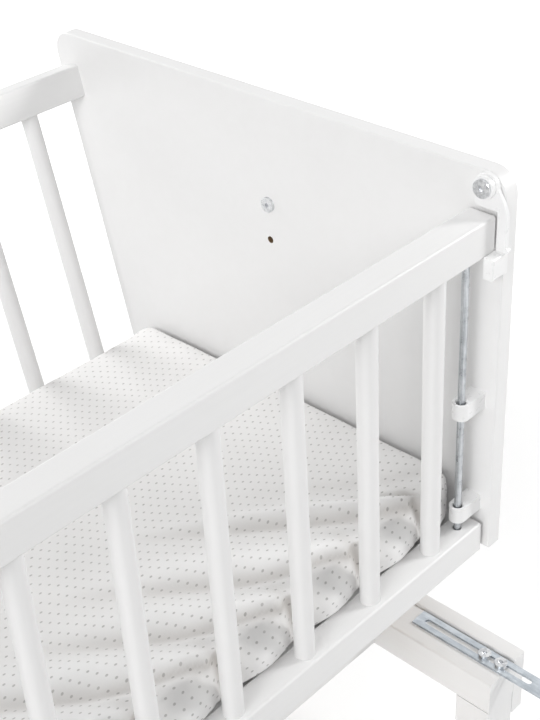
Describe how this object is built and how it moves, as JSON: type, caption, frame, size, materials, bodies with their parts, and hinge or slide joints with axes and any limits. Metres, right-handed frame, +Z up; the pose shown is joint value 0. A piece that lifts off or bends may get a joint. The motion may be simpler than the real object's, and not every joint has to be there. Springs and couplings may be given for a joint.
{
  "type": "bedside sleeper crib",
  "caption": "White wooden bedside crib with a lowering spindle side on steel guide rods, swing latches, leaning rear side, mattress and a leg frame with slotted bed brackets.",
  "frame": {"origin": "on the floor, under the middle of the crib's bounding box", "axes": "+X along the crib towards its right end, seen from the parents' bed; -Y towards the parents' bed, where the drop side is; +Z up"},
  "size_m": [0.959, 0.6063, 0.818],
  "materials": {
    "white_paint": "satin white paint on wood and board",
    "white_plastic": "moulded, slightly glossy",
    "glide_plastic": "plain",
    "raw_beech": "bare beech",
    "raw_wood": "bare sanded pine",
    "zinc_steel": "zinc plated",
    "brass": "plain",
    "mattress_cover": "fitted cotton sheet with small grey dots"
  },
  "bodies": {
    "frame": {"base_slats": "raw_wood", "front_bearer": "white_paint", "front_stretcher": "white_paint", "left_barrel_nuts": "zinc_steel", "left_carrier_screws": "zinc_steel", "left_clamp_screws": "zinc_steel", "left_clip_screws": "zinc_steel", "left_cross_rail": "white_paint", "left_end_panel": "white_paint", "left_foot_glides": "glide_plastic", "left_front_leg": "white_paint", "left_height_bolts": "zinc_steel", "left_insert_nuts": "brass", "left_latch_screw": "zinc_steel", "left_leg_dowels": "raw_beech", "left_lower_guide_clip": "white_plastic", "left_panel_screws": "zinc_steel", "left_rear_leg": "white_paint", "left_side_carrier": "white_paint", "left_stretcher_bolts": "zinc_steel", "left_upper_guide_clip": "white_plastic", "mattress": "mattress_cover", "rear_bearer": "white_paint", "rear_bottom_rail": "white_paint", "rear_spindles": "white_paint", "rear_stretcher": "white_paint", "rear_top_rail": "white_paint", "right_barrel_nuts": "zinc_steel", "right_carrier_screws": "zinc_steel", "right_clamp_screws": "zinc_steel", "right_clip_screws": "zinc_steel", "right_cross_rail": "white_paint", "right_end_panel": "white_paint", "right_foot_glides": "glide_plastic", "right_front_leg": "white_paint", "right_height_bolts": "zinc_steel", "right_insert_nuts": "brass", "right_latch_screw": "zinc_steel", "right_leg_dowels": "raw_beech", "right_lower_guide_clip": "white_plastic", "right_panel_screws": "zinc_steel", "right_rear_leg": "white_paint", "right_side_carrier": "white_paint", "right_stretcher_bolts": "zinc_steel", "right_upper_guide_clip": "white_plastic", "slat_screws": "zinc_steel"},
    "drop_side": {"drop_side_top_rail": "white_paint", "drop_side_bottom_rail": "white_paint", "drop_side_spindles": "white_paint", "right_guide_rod": "zinc_steel", "left_guide_rod": "zinc_steel"},
    "right_latch": {"right_latch": "white_plastic"},
    "right_bed_bracket": {"right_bed_bracket": "zinc_steel"},
    "left_latch": {"left_latch": "white_plastic"},
    "left_bed_bracket": {"left_bed_bracket": "zinc_steel"}
  },
  "joints": [
    {"name": "drop_side_slide", "type": "slide", "parent": "frame", "child": "drop_side", "axis": [0, 0, -1], "range_m": [0, 0.13]},
    {"name": "right_latch_swing", "type": "hinge", "parent": "frame", "child": "right_latch", "pos_m": [0.443, -0.20617, 0.8075], "axis": [-1, 0, 0], "range_deg": [0, 35]},
    {"name": "right_bracket_slide", "type": "slide", "parent": "frame", "child": "right_bed_bracket", "axis": [0, -1, 0], "range_m": [-0.03, 0.06]},
    {"name": "left_latch_swing", "type": "hinge", "parent": "frame", "child": "left_latch", "pos_m": [-0.443, -0.20617, 0.8075], "axis": [-1, 0, 0], "range_deg": [0, 35]},
    {"name": "left_bracket_slide", "type": "slide", "parent": "frame", "child": "left_bed_bracket", "axis": [0, -1, 0], "range_m": [-0.03, 0.06]}
  ]
}
